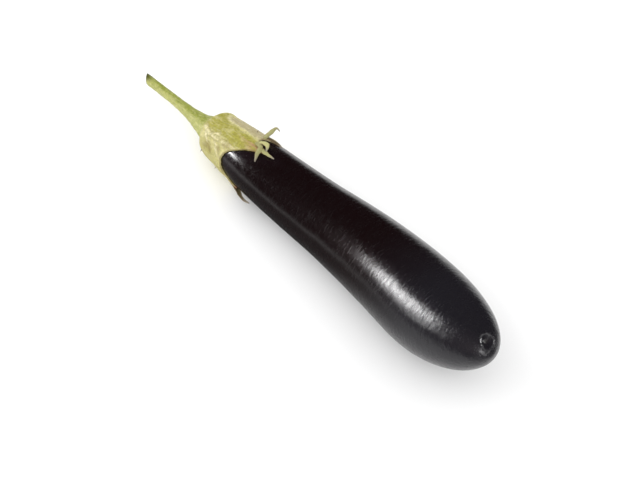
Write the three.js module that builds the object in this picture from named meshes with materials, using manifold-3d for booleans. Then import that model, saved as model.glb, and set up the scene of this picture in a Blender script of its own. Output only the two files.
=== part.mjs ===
// An eggplant as picked, lying on its side. Millimetres, +Z up, the stalk towards -X and the blossom
// end towards +X, the origin on the surface under the middle of the whole thing.
// Each point of the calyx is placed on the fruit by three numbers: its arc (the way over the skin from
// the middle of the shoulder), its angle round the fruit (0 on the +Y side, 90 on top), and its lift
// off the skin.
import * as THREE from 'three';
import { mergeVertices } from 'three/addons/utils/BufferGeometryUtils.js';
import Module from 'manifold-3d';

const wasm = await Module();
wasm.setup();

// ---- Driving dimensions ----------------------------------------------------------------------------

const FRUIT_LENGTH = 253.8;
// [distance from the shoulder, radius] of the blunt shoulder, the slim neck and the swelling belly
const NECK_PROFILE = [
    [0, 0], [1.5, 13.6], [6, 14.7], [14, 15.8], [28, 17.8], [50, 20.3], [80, 21.9], [110, 23.4],
    [140, 25.8], [170, 27.8],
];
const BELLY_AT = 198;           // where the fruit is widest
const BELLY_RADIUS = 28.9;
const END_BLUNTNESS = 2;        // power of the rounded end, where 2 is an ellipse
const END_STATIONS = [0, 0.3, 0.55, 0.75, 0.9, 0.98, 1];
const FRUIT_RINGS = 52;
const FRUIT_SIDES = 48;
const RING_CROWDING = 0.8;      // share by which the rings crowd towards both ends

const AXIS_HEIGHT = 19.3;       // of the middle of the shoulder above the surface
const AXIS_RISE = 13.2;         // from the shoulder to the blossom end
const AXIS_WAVE = 0.6;          // keeps the neck clear and the underside lowest under the weight
const WAVE_CREST = 0.16;        // share of the length where the neck is raised most
const WAVE_LENGTH = 0.72;       // share of the length from crest to crest
const BOW = -6.3;               // of the whole axis, sideways
const SIDE_BEND = 28.2;         // of the blossom end, sideways
const SIDE_BEND_START = 0.45;
const UPTURN = 25;              // of the blossom end, upwards
const UPTURN_START = 0.76;
const SCAR_ARC = 4.7;           // of the sunk blossom scar from the middle of the blossom end
const SCAR_ANGLE = 84;
const SCAR_RADIUS = 5.5;
const SCAR_DEPTH = 1.7;
const FLAT_SPOT_DEPTH = 0.8;    // of the skin pressed flat where the fruit rests
// faint unevenness of the section: share of the radius, waves round it, millimetres along the fruit
// for each radian of shift, and shift at the shoulder
const UNEVENNESS = [[0.008, 2, 47, 0], [0.005, 3, -31, 1.3]];

const CALYX_GAP = 0.3;          // between the skin and the calyx
const CALYX_BODY = 2.3;         // its thickness over the shoulder
const CALYX_EDGE = 0.9;         // and at its edge
const CALYX_THINNING = 1.5;     // power: how late it thins
const CALYX_SIDES = 60;
const SHOULDER_ARCS = [12, 13.8, 15.6, 17.8, 20.5, 24];
const LOBE_RINGS = 8;
const UNDERSIDE_RINGS = 6;
const LOBE_POWER = 2;           // how pointed a lobe is
// each lobe's tip and the notch after it as [angle, arc], and the angle where the seam that ends in
// that notch leaves the stalk
const LOBES = [
    { tip: [46, 67], notch: [70, 56.5], seamStart: 60 },
    { tip: [91, 69], notch: [158, 41], seamStart: 104 },
    { tip: [213, 56], notch: [234, 46], seamStart: 222 },
    { tip: [250, 60], notch: [285, 43], seamStart: 286 },
    { tip: [320, 68], notch: [366, 47], seamStart: 356 },
];
const SEAM_HEIGHT = 0.8;        // of the raised seams between the lobes
const SEAM_WIDTH = 2.4;
const SEAM_SWERVE = 0.5;        // power: how early a seam swings over to its notch
const SEAM_START = 0.12;        // share of the full swell where a seam leaves the stalk

// middle and radius of the stalk, from its cut end to where it spreads into the calyx
const STALK = [
    { at: [-81.7, 5, 12.7], radius: 3.7 },
    { at: [-62, 3.9, 14.3], radius: 3.6 },
    { at: [-44, 2.7, 15.6], radius: 3.8 },
    { at: [-28, 1.1, 16.9], radius: 4.9 },
    { at: [-16, -0.2, 17.8], radius: 6.8 },
    { at: [-8, -0.8, 18.5], radius: 9 },
    { at: [-4, -0.7, 18.9], radius: 10.7 },
];
const STALK_RINGS = 20;
const CUT_SLANT = 0.85;         // of the cut end, which reaches further out on the far side
const CUT_REACH = 1 / 6;        // share of the stalk over which the slant fades

// dried lobe tips: [arc, angle, lift] along the middle of each, and its width at the root
const SLIVERS = [
    { width: 2.8, path: [[56.5, 60, 1.0], [57.5, 57, 3.6], [58.8, 53, 7.2], [60, 50, 10], [63, 48.5, 9.2]] },
    { width: 4.2, path: [[59, 78, 1.0], [64, 78, 3.0], [68, 82, 3.6], [70, 90, 2.6]] },
    { width: 4.2, path: [[57, 80, 1.0], [64.5, 89, 2.2], [66.7, 102, 2.4], [69, 115, 1.4]] },
    { width: 2.8, path: [[62, 87, 1.0], [68, 91, 1.8], [73.5, 92, 2.4], [78, 90, 1.4]] },
    { width: 3.4, path: [[56, 50, 1.0], [64, 54, 1.6], [72, 56.4, 1.5]] },
    { width: 4.4, path: [[50, 214, 1.0], [57, 212, 1.3], [63, 203, 2.2], [70, 194, 3.2], [77, 188, 3.0]] },
    { width: 3.6, path: [[52, 249, 1.0], [61, 245, 1.5], [68, 240, 1.6]] },
    { width: 3.8, path: [[60, 320, 1.0], [69, 316, 2.0], [76, 311, 3.4]] },
];
const SLIVER_THICKNESS = 0.8;
const SLIVER_TIP = 0.3;         // share of the width left at the end
const SLIVER_TAPER = 1.6;       // power: how late it narrows
const SLIVER_CUP = 0.12;        // how far its middle is cupped, as a share of its width
const SLIVER_STEPS = 9;

// prickles of the calyx, [arc, angle]
const PRICKLES = [[46, 50], [17, 188], [34, 330], [24, 232], [42, 316], [33, 204]];
const PRICKLE_HEIGHT = 1.7;
const PRICKLE_RADIUS = 0.6;
const PRICKLE_SIDES = 5;

// ---- The fruit's form ------------------------------------------------------------------------------

const SAMPLES_PER_MM = 4;
const FULL_TURN = 2 * Math.PI;
const endProfile = END_STATIONS.map((share) => [
    BELLY_AT + (FRUIT_LENGTH - BELLY_AT) * share,
    BELLY_RADIUS * (1 - share ** END_BLUNTNESS) ** (1 / END_BLUNTNESS),
]);
const profileCurve = new THREE.SplineCurve(
    [...NECK_PROFILE, ...endProfile].map(([x, radius]) => new THREE.Vector2(x, radius)),
);
profileCurve.arcLengthDivisions = 3000;
const SKIN_ARC = profileCurve.getLength();
const profileSamples = profileCurve.getSpacedPoints(Math.round(SKIN_ARC * SAMPLES_PER_MM));

function clamp01(value) {
    return Math.min(1, Math.max(0, value));
}

function toRadians(degrees) {
    return (degrees * Math.PI) / 180;
}

// the profile at an arc: a point [along the axis, radius] and the way out of the skin there
function profileAt(arc) {
    const last = profileSamples.length - 1;
    const place = clamp01(arc / SKIN_ARC) * last;
    const before = Math.min(last - 1, Math.floor(place));
    const start = profileSamples[before];
    const end = profileSamples[before + 1];
    const point = start.clone().lerp(end, place - before);
    const step = end.clone().sub(start).normalize();
    return { point, out: new THREE.Vector2(-step.y, step.x) };
}

// the middle of the fruit at x, and the directions along it, sideways and up
function frameAt(x) {
    const u = x / FRUIT_LENGTH;
    const bend = clamp01((u - SIDE_BEND_START) / (1 - SIDE_BEND_START));
    const turn = clamp01((u - UPTURN_START) / (1 - UPTURN_START));
    const wave = (FULL_TURN * (u - WAVE_CREST)) / WAVE_LENGTH;
    const middle = new THREE.Vector3(
        x,
        BOW * 4 * u * (1 - u) - SIDE_BEND * bend ** 2,
        AXIS_HEIGHT + AXIS_RISE * u + AXIS_WAVE * Math.cos(wave) + UPTURN * turn ** 2,
    );
    const sideways = BOW * 4 * (1 - 2 * u) - (SIDE_BEND * 2 * bend) / (1 - SIDE_BEND_START);
    const upwards = AXIS_RISE - (AXIS_WAVE * FULL_TURN * Math.sin(wave)) / WAVE_LENGTH
        + (UPTURN * 2 * turn) / (1 - UPTURN_START);
    const along = new THREE.Vector3(FRUIT_LENGTH, sideways, upwards).normalize();
    const side = new THREE.Vector3(-along.y, along.x, 0).normalize();
    const up = new THREE.Vector3().crossVectors(along, side);
    return { middle, along, side, up };
}

// faint unevenness of the section, as a factor on the radius
function unevenness(x, angle) {
    return UNEVENNESS.reduce((factor, [share, waves, pitch, shift]) => (
        factor + share * Math.sin(waves * angle + x / pitch + shift)
    ), 1);
}

// a point at an arc over the skin, an angle round it and a lift off it
function onSkin(arc, angle, lift = 0) {
    const { point, out } = profileAt(arc);
    const x = point.x + lift * out.x;
    const radius = point.y * unevenness(point.x, angle) + lift * out.y;
    const { middle, side, up } = frameAt(x);
    return middle
        .addScaledVector(side, radius * Math.cos(angle))
        .addScaledVector(up, radius * Math.sin(angle));
}

// ---- Solids ----------------------------------------------------------------------------------------

function toSolid(geometry) {
    geometry.deleteAttribute('normal');
    geometry.deleteAttribute('uv');
    const merged = mergeVertices(geometry, 1e-4);
    return new wasm.Manifold(new wasm.Mesh({
        numProp: 3,
        vertProperties: new Float32Array(merged.attributes.position.array),
        triVerts: new Uint32Array(merged.index.array),
    }));
}

function toMesh(name, solid, material) {
    const { vertProperties, triVerts } = solid.getMesh();
    const geometry = new THREE.BufferGeometry();
    geometry.setAttribute('position', new THREE.BufferAttribute(vertProperties, 3));
    geometry.setIndex(new THREE.BufferAttribute(triVerts, 1));
    const mesh = new THREE.Mesh(geometry, material);
    mesh.name = name;
    return mesh;
}

// moves each vertex of a geometry to move(vertex, its number)
function reshape(geometry, move) {
    const position = geometry.attributes.position;
    for (let i = 0; i < position.count; i += 1) {
        const moved = move(new THREE.Vector3().fromBufferAttribute(position, i), i);
        position.setXYZ(i, moved.x, moved.y, moved.z);
    }
    return geometry;
}

// a lathed body whose rings are then placed one by one: each ring is a function of the angle. The first
// and the last ring are points.
function turned(rings, sides) {
    const outline = rings.map((ring, row) => {
        const isEnd = row === 0 || row === rings.length - 1;
        return new THREE.Vector2(isEnd ? 0 : 1, rings.length - row);
    });
    const geometry = new THREE.LatheGeometry(outline, sides);
    return reshape(geometry, (vertex, number) => {
        const row = number % rings.length;
        const isEnd = row === 0 || row === rings.length - 1;
        const side = Math.floor(number / rings.length) % sides;
        return rings[row](isEnd ? 0 : (side * FULL_TURN) / sides);
    });
}

// ---- The fruit -------------------------------------------------------------------------------------

const scarMiddle = onSkin(SKIN_ARC - SCAR_ARC, toRadians(SCAR_ANGLE));

// how deep the blossom scar is sunk at a point of the skin
function scarDepth(point) {
    const near = clamp01(1 - point.distanceTo(scarMiddle) / SCAR_RADIUS);
    return SCAR_DEPTH * near * near * (3 - 2 * near);
}

function makeFruit() {
    const rings = [];
    for (let row = 0; row <= FRUIT_RINGS; row += 1) {
        const share = row / FRUIT_RINGS;
        const crowded = (1 - Math.cos(Math.PI * share)) / 2;
        const arc = SKIN_ARC * (share + (crowded - share) * RING_CROWDING);
        rings.push((angle) => onSkin(arc, angle, -scarDepth(onSkin(arc, angle))));
    }
    return toSolid(turned(rings, FRUIT_SIDES));
}

// cuts away what reaches below the flat spot
function restFlat(solid, floor) {
    const { min, max } = solid.boundingBox();
    const depth = 10;
    const block = new THREE.BoxGeometry(2 * (max[0] - min[0]), 4 * (max[1] - min[1]), depth);
    block.translate(min[0], min[1], floor - depth / 2);
    return solid.subtract(toSolid(block));
}

// ---- Calyx and stalk -------------------------------------------------------------------------------

// how far the calyx reaches over the skin at an angle: lobes with pointed tips, round notches between
function edgeArc(angle) {
    const degrees = THREE.MathUtils.euclideanModulo((angle * 180) / Math.PI, 360);
    for (let i = 0; i < LOBES.length; i += 1) {
        const [tipAngle, tipArc] = LOBES[i].tip;
        const [nextAngle, nextArc] = LOBES[i].notch;
        const [endAngle, previousArc] = LOBES[(i + LOBES.length - 1) % LOBES.length].notch;
        const previousAngle = endAngle > tipAngle ? endAngle - 360 : endAngle;
        for (const here of [degrees, degrees - 360, degrees + 360]) {
            if (here >= previousAngle && here <= tipAngle) {
                const share = (here - previousAngle) / (tipAngle - previousAngle);
                return previousArc + (tipArc - previousArc) * share ** LOBE_POWER;
            }
            if (here > tipAngle && here <= nextAngle) {
                const share = (nextAngle - here) / (nextAngle - tipAngle);
                return nextArc + (tipArc - nextArc) * share ** LOBE_POWER;
            }
        }
    }
    throw new Error(`no lobe at ${degrees}`);
}

// height of the raised seams that run from the stalk out into the notches
function seamLift(arc, angle) {
    const radius = profileAt(arc).point.y;
    let lift = 0;
    for (const { notch: [notchAngle, notchArc], seamStart } of LOBES) {
        const share = clamp01((arc - SHOULDER_ARCS[0]) / (notchArc - SHOULDER_ARCS[0]));
        const seamAngle = toRadians(seamStart + (notchAngle - seamStart) * share ** SEAM_SWERVE);
        const apart = Math.atan2(Math.sin(angle - seamAngle), Math.cos(angle - seamAngle)) * radius;
        const fade = Math.sin(Math.PI * clamp01(SEAM_START + (1 - SEAM_START) * share));
        lift += SEAM_HEIGHT * fade * Math.exp(-((apart / SEAM_WIDTH) ** 2));
    }
    return lift;
}

function calyxThickness(arc, angle) {
    const share = clamp01((arc - SHOULDER_ARCS[0]) / (edgeArc(angle) - SHOULDER_ARCS[0]));
    return CALYX_BODY + (CALYX_EDGE - CALYX_BODY) * share ** CALYX_THINNING + seamLift(arc, angle);
}

function stalkRings() {
    const middleCurve = new THREE.CatmullRomCurve3(STALK.map(({ at }) => new THREE.Vector3(...at)));
    const radiusCurve = new THREE.SplineCurve(STALK.map(({ radius }, i) => new THREE.Vector2(i, radius)));
    const rings = [];
    for (let row = 0; row <= STALK_RINGS; row += 1) {
        const share = row / STALK_RINGS;
        const middle = middleCurve.getPoint(share);
        const along = middleCurve.getTangent(share);
        const side = new THREE.Vector3(-along.y, along.x, 0).normalize();
        const up = new THREE.Vector3().crossVectors(along, side);
        const radius = radiusCurve.getPoint(share).y;
        const slant = CUT_SLANT * (1 - clamp01(share / CUT_REACH)) ** 2;
        const ring = (angle, reach = radius) => {
            const point = middle.clone()
                .addScaledVector(side, reach * Math.cos(angle))
                .addScaledVector(up, reach * Math.sin(angle));
            point.x -= slant * (point.y - middle.y);
            return point;
        };
        if (row === 0) {
            rings.push((angle) => ring(angle, 0));
        }
        rings.push((angle) => ring(angle));
    }
    return rings;
}

function calyxRings() {
    const shoulder = SHOULDER_ARCS[SHOULDER_ARCS.length - 1];
    const outer = SHOULDER_ARCS.map((arc) => (angle) => (
        onSkin(arc, angle, CALYX_GAP + calyxThickness(arc, angle))
    ));
    for (let row = 1; row <= LOBE_RINGS; row += 1) {
        outer.push((angle) => {
            const arc = shoulder + ((edgeArc(angle) - shoulder) * row) / LOBE_RINGS;
            return onSkin(arc, angle, CALYX_GAP + calyxThickness(arc, angle));
        });
    }
    const inner = [];
    for (let row = UNDERSIDE_RINGS; row >= 1; row -= 1) {
        inner.push((angle) => {
            const arc = shoulder + ((edgeArc(angle) - shoulder) * row) / UNDERSIDE_RINGS;
            return onSkin(arc, angle, CALYX_GAP);
        });
    }
    for (const arc of [...SHOULDER_ARCS].reverse()) {
        inner.push((angle) => onSkin(arc, angle, CALYX_GAP));
    }
    inner.push((angle) => onSkin(SHOULDER_ARCS[0] / 2, angle, CALYX_GAP));
    inner.push(() => onSkin(0, 0, CALYX_GAP));
    return [...outer, ...inner];
}

// a thin blade that follows its path and narrows towards the end
function makeSliver({ width, path }) {
    const points = path.map(([arc, angle, lift]) => onSkin(arc, toRadians(angle), lift));
    const [rootArc, rootAngle] = path[0];
    const root = onSkin(rootArc, toRadians(rootAngle));
    const outOfSkin = onSkin(rootArc, toRadians(rootAngle), 1).sub(root);
    const curve = new THREE.CatmullRomCurve3(points);
    const across = new THREE.Vector3().crossVectors(outOfSkin, curve.getTangent(0)).normalize();
    const blade = new THREE.BoxGeometry(1, 1, 1, SLIVER_STEPS, 2, 1);
    return toSolid(reshape(blade, (vertex) => {
        const share = vertex.x + 0.5;
        const along = curve.getTangent(share);
        const sideways = across.clone().addScaledVector(along, -across.dot(along)).normalize();
        const out = new THREE.Vector3().crossVectors(along, sideways);
        const narrowed = width * (1 - (1 - SLIVER_TIP) * share ** SLIVER_TAPER);
        const cupped = SLIVER_CUP * narrowed * (1 - 4 * vertex.y * vertex.y);
        return curve.getPoint(share)
            .addScaledVector(sideways, vertex.y * narrowed)
            .addScaledVector(out, vertex.z * SLIVER_THICKNESS + cupped);
    }));
}

// a small cone that stands out of the calyx and leans towards the lobe's tip
function makePrickle([arc, degrees]) {
    const angle = toRadians(degrees);
    const surface = CALYX_GAP + calyxThickness(arc, angle);
    const base = onSkin(arc, angle, surface - PRICKLE_HEIGHT / 3);
    const tip = onSkin(arc + PRICKLE_HEIGHT / 2, angle, surface + PRICKLE_HEIGHT);
    const length = tip.distanceTo(base);
    const cone = new THREE.ConeGeometry(PRICKLE_RADIUS, length, PRICKLE_SIDES);
    cone.translate(0, length / 2, 0);
    const upright = new THREE.Vector3(0, 1, 0);
    const lean = new THREE.Quaternion().setFromUnitVectors(upright, tip.sub(base).normalize());
    cone.applyQuaternion(lean);
    cone.translate(base.x, base.y, base.z);
    return toSolid(cone);
}

function makeCalyxAndStalk() {
    const body = toSolid(turned([...stalkRings(), ...calyxRings()], CALYX_SIDES));
    const details = [...SLIVERS.map(makeSliver), ...PRICKLES.map(makePrickle)];
    return details.reduce((whole, detail) => whole.add(detail), body);
}

// ---- The whole -------------------------------------------------------------------------------------

const skin = new THREE.MeshStandardMaterial({ color: 0x1a1315, roughness: 0.24, metalness: 0 });
const green = new THREE.MeshStandardMaterial({ color: 0x9b9a4a, roughness: 0.62, metalness: 0 });

const fruit = makeFruit();
const floor = fruit.boundingBox().min[2] + FLAT_SPOT_DEPTH;

const group = new THREE.Group();
group.add(toMesh('fruit', restFlat(fruit, floor), skin));
group.add(toMesh('calyx_stem', makeCalyxAndStalk(), green));
const middle = new THREE.Box3().setFromObject(group).getCenter(new THREE.Vector3());
group.position.set(-middle.x, -middle.y, -floor);

export default group;
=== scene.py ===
"""The looks of a fresh eggplant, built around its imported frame.

The form is worked out in millimetres from the middle of the fruit's shoulder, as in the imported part,
and each finished point is then moved to the frame and turned to metres. A point of the skin is given
by its arc (the way over the skin from the middle of the shoulder), its angle round the fruit (0 on the
+Y side, 90 on top) and its lift off the skin.
"""

import math

import bpy
import numpy as np
from bpy.props import FloatProperty, FloatVectorProperty, IntProperty, PointerProperty
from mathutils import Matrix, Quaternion, Vector


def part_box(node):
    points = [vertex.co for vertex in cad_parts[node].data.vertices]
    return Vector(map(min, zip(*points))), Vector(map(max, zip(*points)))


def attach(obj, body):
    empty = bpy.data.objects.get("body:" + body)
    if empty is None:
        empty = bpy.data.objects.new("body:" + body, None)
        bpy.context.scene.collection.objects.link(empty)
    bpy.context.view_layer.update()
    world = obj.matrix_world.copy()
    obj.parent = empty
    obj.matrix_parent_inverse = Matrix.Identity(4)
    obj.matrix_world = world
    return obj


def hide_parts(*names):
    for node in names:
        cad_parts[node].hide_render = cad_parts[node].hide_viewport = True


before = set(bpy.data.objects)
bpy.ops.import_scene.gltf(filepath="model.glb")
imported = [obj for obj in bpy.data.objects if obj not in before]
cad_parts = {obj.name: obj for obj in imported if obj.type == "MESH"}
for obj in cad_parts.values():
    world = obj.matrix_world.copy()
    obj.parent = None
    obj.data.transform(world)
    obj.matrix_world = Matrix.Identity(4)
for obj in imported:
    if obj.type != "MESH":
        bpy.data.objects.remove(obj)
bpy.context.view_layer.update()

bl_info = {
    "name": "Eggplant",
    "version": (1, 0, 0),
    "blender": (4, 5, 0),
    "location": "3D View > Sidebar > Eggplant",
    "description": "Builds a fresh eggplant with its calyx, stalk, dried tips and prickles",
    "category": "Object",
}

MM = 0.001
FULL_TURN = 2 * math.pi
WRAP_RADIUS = 22.0  # of the even tube that the skin's pattern is wrapped on
SKIN_INSET = 0.06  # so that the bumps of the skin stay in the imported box

# [distance from the shoulder, radius] of the blunt shoulder, the slim neck and the swelling belly
NECK_PROFILE = [
    (0, 0), (1.5, 13.6), (6, 14.7), (14, 15.8), (28, 17.8), (50, 20.3), (80, 21.9), (110, 23.4),
    (140, 25.8), (170, 27.8),
]
END_STATIONS = (0, 0.3, 0.55, 0.75, 0.9, 0.98, 1)
# faint unevenness of the section: share of the radius, waves round it, millimetres along the fruit
# for each radian of shift, and shift at the shoulder
UNEVENNESS = [(0.008, 2, 47, 0), (0.005, 3, -31, 1.3)]

# each lobe's tip and the notch after it as (angle, arc)
LOBES = [
    ((46, 67), (70, 56.5)),
    ((91, 69), (158, 41)),
    ((213, 56), (234, 46)),
    ((250, 60), (285, 43)),
    ((320, 68), (366, 47)),
]
# raised seams of the calyx: height and half width in millimetres, how crumpled from 0 to 1, and
# (arc, angle) along each
SEAMS = [
    (0.5, 1.1, 0.3, [(20, 56), (23, 66), (26, 73), (30, 74.5), (44, 74), (56, 78), (63, 82)]),
    (0.9, 1.2, 1.0, [(13, 112), (18, 125), (24, 127), (33, 127.5), (38, 125.5), (42, 122)]),
    (0.4, 0.8, 0.6, [(42, 122), (47, 120.5), (48.5, 120)]),
    (0.5, 1.3, 0.6, [(29, 128), (33, 138), (36, 150), (40, 158)]),
    (0.4, 0.9, 0.8, [(24, 127), (29, 119), (31, 115)]),
    (0.4, 0.9, 0.8, [(19, 124), (21, 140), (25, 146)]),
    (0.8, 1.8, 0.3, [(13, 210), (28, 224), (46, 234)]),
    (0.8, 1.8, 0.3, [(13, 286), (28, 285), (43, 285)]),
    (0.8, 1.8, 0.3, [(13, 356), (28, 363), (47, 366)]),
]
# arcs where the calyx starts at the stalk and where its rows start to spread to the edge, and rows
# of points over its shoulder, over its lobes, round its thin edge and back under the lobes
SHOULDER_START, SHOULDER_END = 12, 24
SHOULDER_ROWS, LOBE_ROWS, EDGE_ROWS, UNDERSIDE_ROWS = 22, 95, 7, 21
# the underside of the calyx: its lift off the skin, and its last arcs below the stalk
UNDERSIDE_LIFT = 0.02
UNDERSIDE_ARCS = (20.0, 16.0, 12.0, 6.0, 0.0)

# middle and radius of the stalk, from its cut end to where it spreads into the calyx
STALK_PATH = [
    (-81.7, 5, 12.7), (-62, 3.9, 14.3), (-44, 2.7, 15.6), (-28, 1.1, 16.9), (-16, -0.2, 17.8),
    (-8, -0.8, 18.5), (-4, -0.7, 18.9),
]
STALK_RADII = [3.7, 3.6, 3.8, 4.9, 6.8, 9, 10.7]
STALK_ROWS = 90

# smoothing of the rows where the stalk joins the calyx: rows before and after the join, strength,
# and on which side
JOIN_SMOOTHING = [(26, 12, 0.35, "all"), (34, 24, 0.65, "low")]
SMOOTHING_PASSES = 50

# where the calyx lies thinner over the far shoulder, (arc, angle)
THIN_SIDE = [(16, 80), (24, 66), (34, 54), (50, 52)]

# olive-brown patches of the calyx: size in millimetres and (arc, angle) along each
PATCHES = [
    (2.6, [(23, 158), (27, 152), (29, 160)]),
    (1.8, [(40.5, 128.5), (44, 123)]),
    (1.5, [(36, 140), (38, 143)]),
]

# dried lobe tips: width at the root, how dry each is (0 is green, 1 is brown, and more leaves no
# green blotches), how far it is twisted at the root and at the end in degrees, and
# (arc, angle, lift) along its middle
DRIED_TIPS = {
    "upright_tip": (3.2, 0.25, 60, 100, [(56.5, 60, 0.9), (57.5, 57, 3.6), (58.8, 53, 7.2),
                                         (60, 50, 10.0), (63, 48.5, 9.2)]),
    "curled_tip": (4.4, 0.0, 0, 0, [(59, 78, 0.9), (64, 78, 3.0), (68, 82, 3.6), (70, 90, 2.6)]),
    "olive_tip": (4.2, 0.35, 0, -15, [(58, 82, 0.9), (64.5, 89, 2.2), (66.7, 102, 2.4),
                                     (69, 115, 1.4)]),
    "flat_tip": (3.2, 0.35, 0, 30, [(62, 87, 0.9), (68, 91, 1.8), (73.5, 92, 2.4), (78, 90, 1.4)]),
    "far_tip": (4.0, 1.0, 0, 10, [(55, 50, 0.9), (64, 54, 1.6), (72, 56.4, 1.5)]),
    # the hanging tip's dryness above 1 darkens it: painted shade of its underside
    "hanging_tip": (3.6, 1.1, 30, 80, [(50, 214, 0.9), (57, 212, 1.2), (63, 203, 2.2),
                                        (70, 194, 3.2), (77, 188, 3.0)]),
    "under_tip": (4.0, 0.8, 0, 20, [(51, 249, 0.9), (61, 245, 1.5), (68, 240, 1.6)]),
    "side_tip": (4.2, 0.7, 0, 25, [(57, 320, 0.9), (69, 316, 2.0), (76, 311, 3.4)]),
}

# prickles of the calyx, (arc, angle)
PRICKLES = [(46, 50), (17, 188), (34, 330), (24, 232), (42, 316), (33, 204)]
# and of the stalk, (share of its length, angle)
STALK_PRICKLES = [(0.58, 222), (0.3, 300)]
PRICKLE_RADIUS = 0.00065  # in metres, at the root
PRICKLE_ROOT = 0.5  # how deep each is rooted

# the stage, in metres: the floor's size, the spot on it beside the neck, and what the key light
# faces, its distance and its size
FLOOR_SIZE = 12.0
BESIDE_NECK = (-0.03, -0.05, 0.0)
KEY_AIM = (0.06, -0.01, 0.045)
KEY_DISTANCE = 2.0
KEY_SIZE = 1.6

# glowing cards that the skin mirrors: point they face, azimuth and elevation they are seen at from
# it and roll in degrees, distance, width and height in metres, and strength
CARDS = {
    "belly_card": ((0.105, -0.015, 0.045), -133.8, 33, 25, 0.12, 0.054, 0.086, 50.0),
    "patch_card": ((0.105, -0.015, 0.045), -115, 20, 0, 0.139, 0.07, 0.07, 8.0),
    "neck_card": ((-0.055, -0.003, 0.034), -150, 16, 0, 0.1, 0.016, 0.024, 110.0),
    "scar_card": ((0.1617, -0.0155, 0.0595), 40, 13, 0, 0.2, 0.024, 0.024, 215.0),
    "scar_rim_card": ((0.1638, -0.0174, 0.0585), 18, 35, 0, 0.2, 0.2, 0.055, 4.0),
    "end_card": ((0.1651, -0.0189, 0.0572), -31, 18, 0, 0.2, 0.07, 0.16, 20.0),
}


def linear(hex_colour):
    """An sRGB hex colour as linear red, green and blue."""
    levels = [int(hex_colour[i:i + 2], 16) / 255 for i in (1, 3, 5)]
    return [v / 12.92 if v <= 0.04045 else ((v + 0.055) / 1.055) ** 2.4 for v in levels]


def length(name, description, default, low=0.0, high=1.0):
    """A size in metres that the panel shows."""
    return FloatProperty(
        name=name, description=description, default=default, min=low, max=high, unit="LENGTH",
        precision=5,
    )


def fraction(name, description, default):
    """A share from 0 to 1 that the panel shows."""
    return FloatProperty(
        name=name, description=description, default=default, min=0.0, max=1.0, subtype="FACTOR"
    )


def number(name, description, default, **limits):
    """A plain number that the panel shows."""
    return FloatProperty(name=name, description=description, default=default, **limits)


def rotation(name, description, degrees):
    """An angle that the panel shows."""
    return FloatProperty(
        name=name, description=description, default=math.radians(degrees), subtype="ANGLE"
    )


def colour(name, description, hex_colour):
    """A colour that the panel shows."""
    return FloatVectorProperty(
        name=name, description=description, default=linear(hex_colour), min=0.0, max=1.0,
        subtype="COLOR",
    )


# ---- Settings --------------------------------------------------------------------------------------


class EggplantForm(bpy.types.PropertyGroup):
    """Sizes of the fruit, its calyx and its stalk."""

    fruit_length: length("Fruit length", "From the shoulder to the blossom end", 0.2538)
    belly_at: length("Belly at", "Where the fruit is widest, from the shoulder", 0.198)
    belly_radius: length("Belly radius", "Radius where the fruit is widest", 0.0289)
    end_bluntness: number(
        "End bluntness", "Power of the rounded blossom end, where 2 is an ellipse", 2.0, min=1.0, max=4.0
    )
    axis_height: length("Shoulder height", "Height of the middle of the shoulder", 0.0193)
    axis_rise: length("Rise", "Rise of the middle from the shoulder to the blossom end", 0.0132)
    axis_wave: length("Wave", "Wave of the middle, up at the neck", 0.0006)
    wave_crest: fraction("Wave crest", "Share of the length where the neck is raised most", 0.16)
    wave_length: fraction("Wave length", "Share of the length from crest to crest", 0.72)
    bow: length("Bow", "Sideways bow of the whole fruit", -0.0063, -0.1, 0.1)
    side_bend: length("Side bend", "Sideways bend of the blossom end", 0.0282)
    side_bend_start: fraction("Side bend start", "Share of the length where the bend starts", 0.45)
    upturn: length("Upturn", "Upward bend of the blossom end", 0.025)
    upturn_start: fraction("Upturn start", "Share of the length where the upturn starts", 0.76)
    scar_arc: length("Scar place", "From the middle of the blossom end to the scar", 0.0047)
    scar_angle: rotation("Scar angle", "Angle of the blossom scar round the fruit", 84)
    scar_radius: length("Scar radius", "Radius of the sunk blossom scar", 0.0055)
    scar_depth: length("Scar depth", "Depth of the sunk blossom scar", 0.0017)
    flat_spot_depth: length("Flat spot depth", "How far the skin is pressed flat below", 0.0008)
    calyx_body: length("Calyx thickness", "Thickness of the calyx over the shoulder", 0.0026)
    calyx_edge: length("Calyx edge", "Thickness of the calyx at its edge", 0.0012)
    calyx_thinning: number("Calyx thinning", "Power that says how late the calyx thins", 1.5)
    lobe_power: number("Lobe power", "How pointed the lobes are", 2.0)
    cut_slant: number("Cut slant", "Slant of the stalk's cut end", 0.85)
    tip_thickness: length("Tip thickness", "Thickness of the dried lobe tips", 0.0006)
    prickle_height: length("Prickle height", "How far the prickles stand out", 0.0017)


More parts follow.
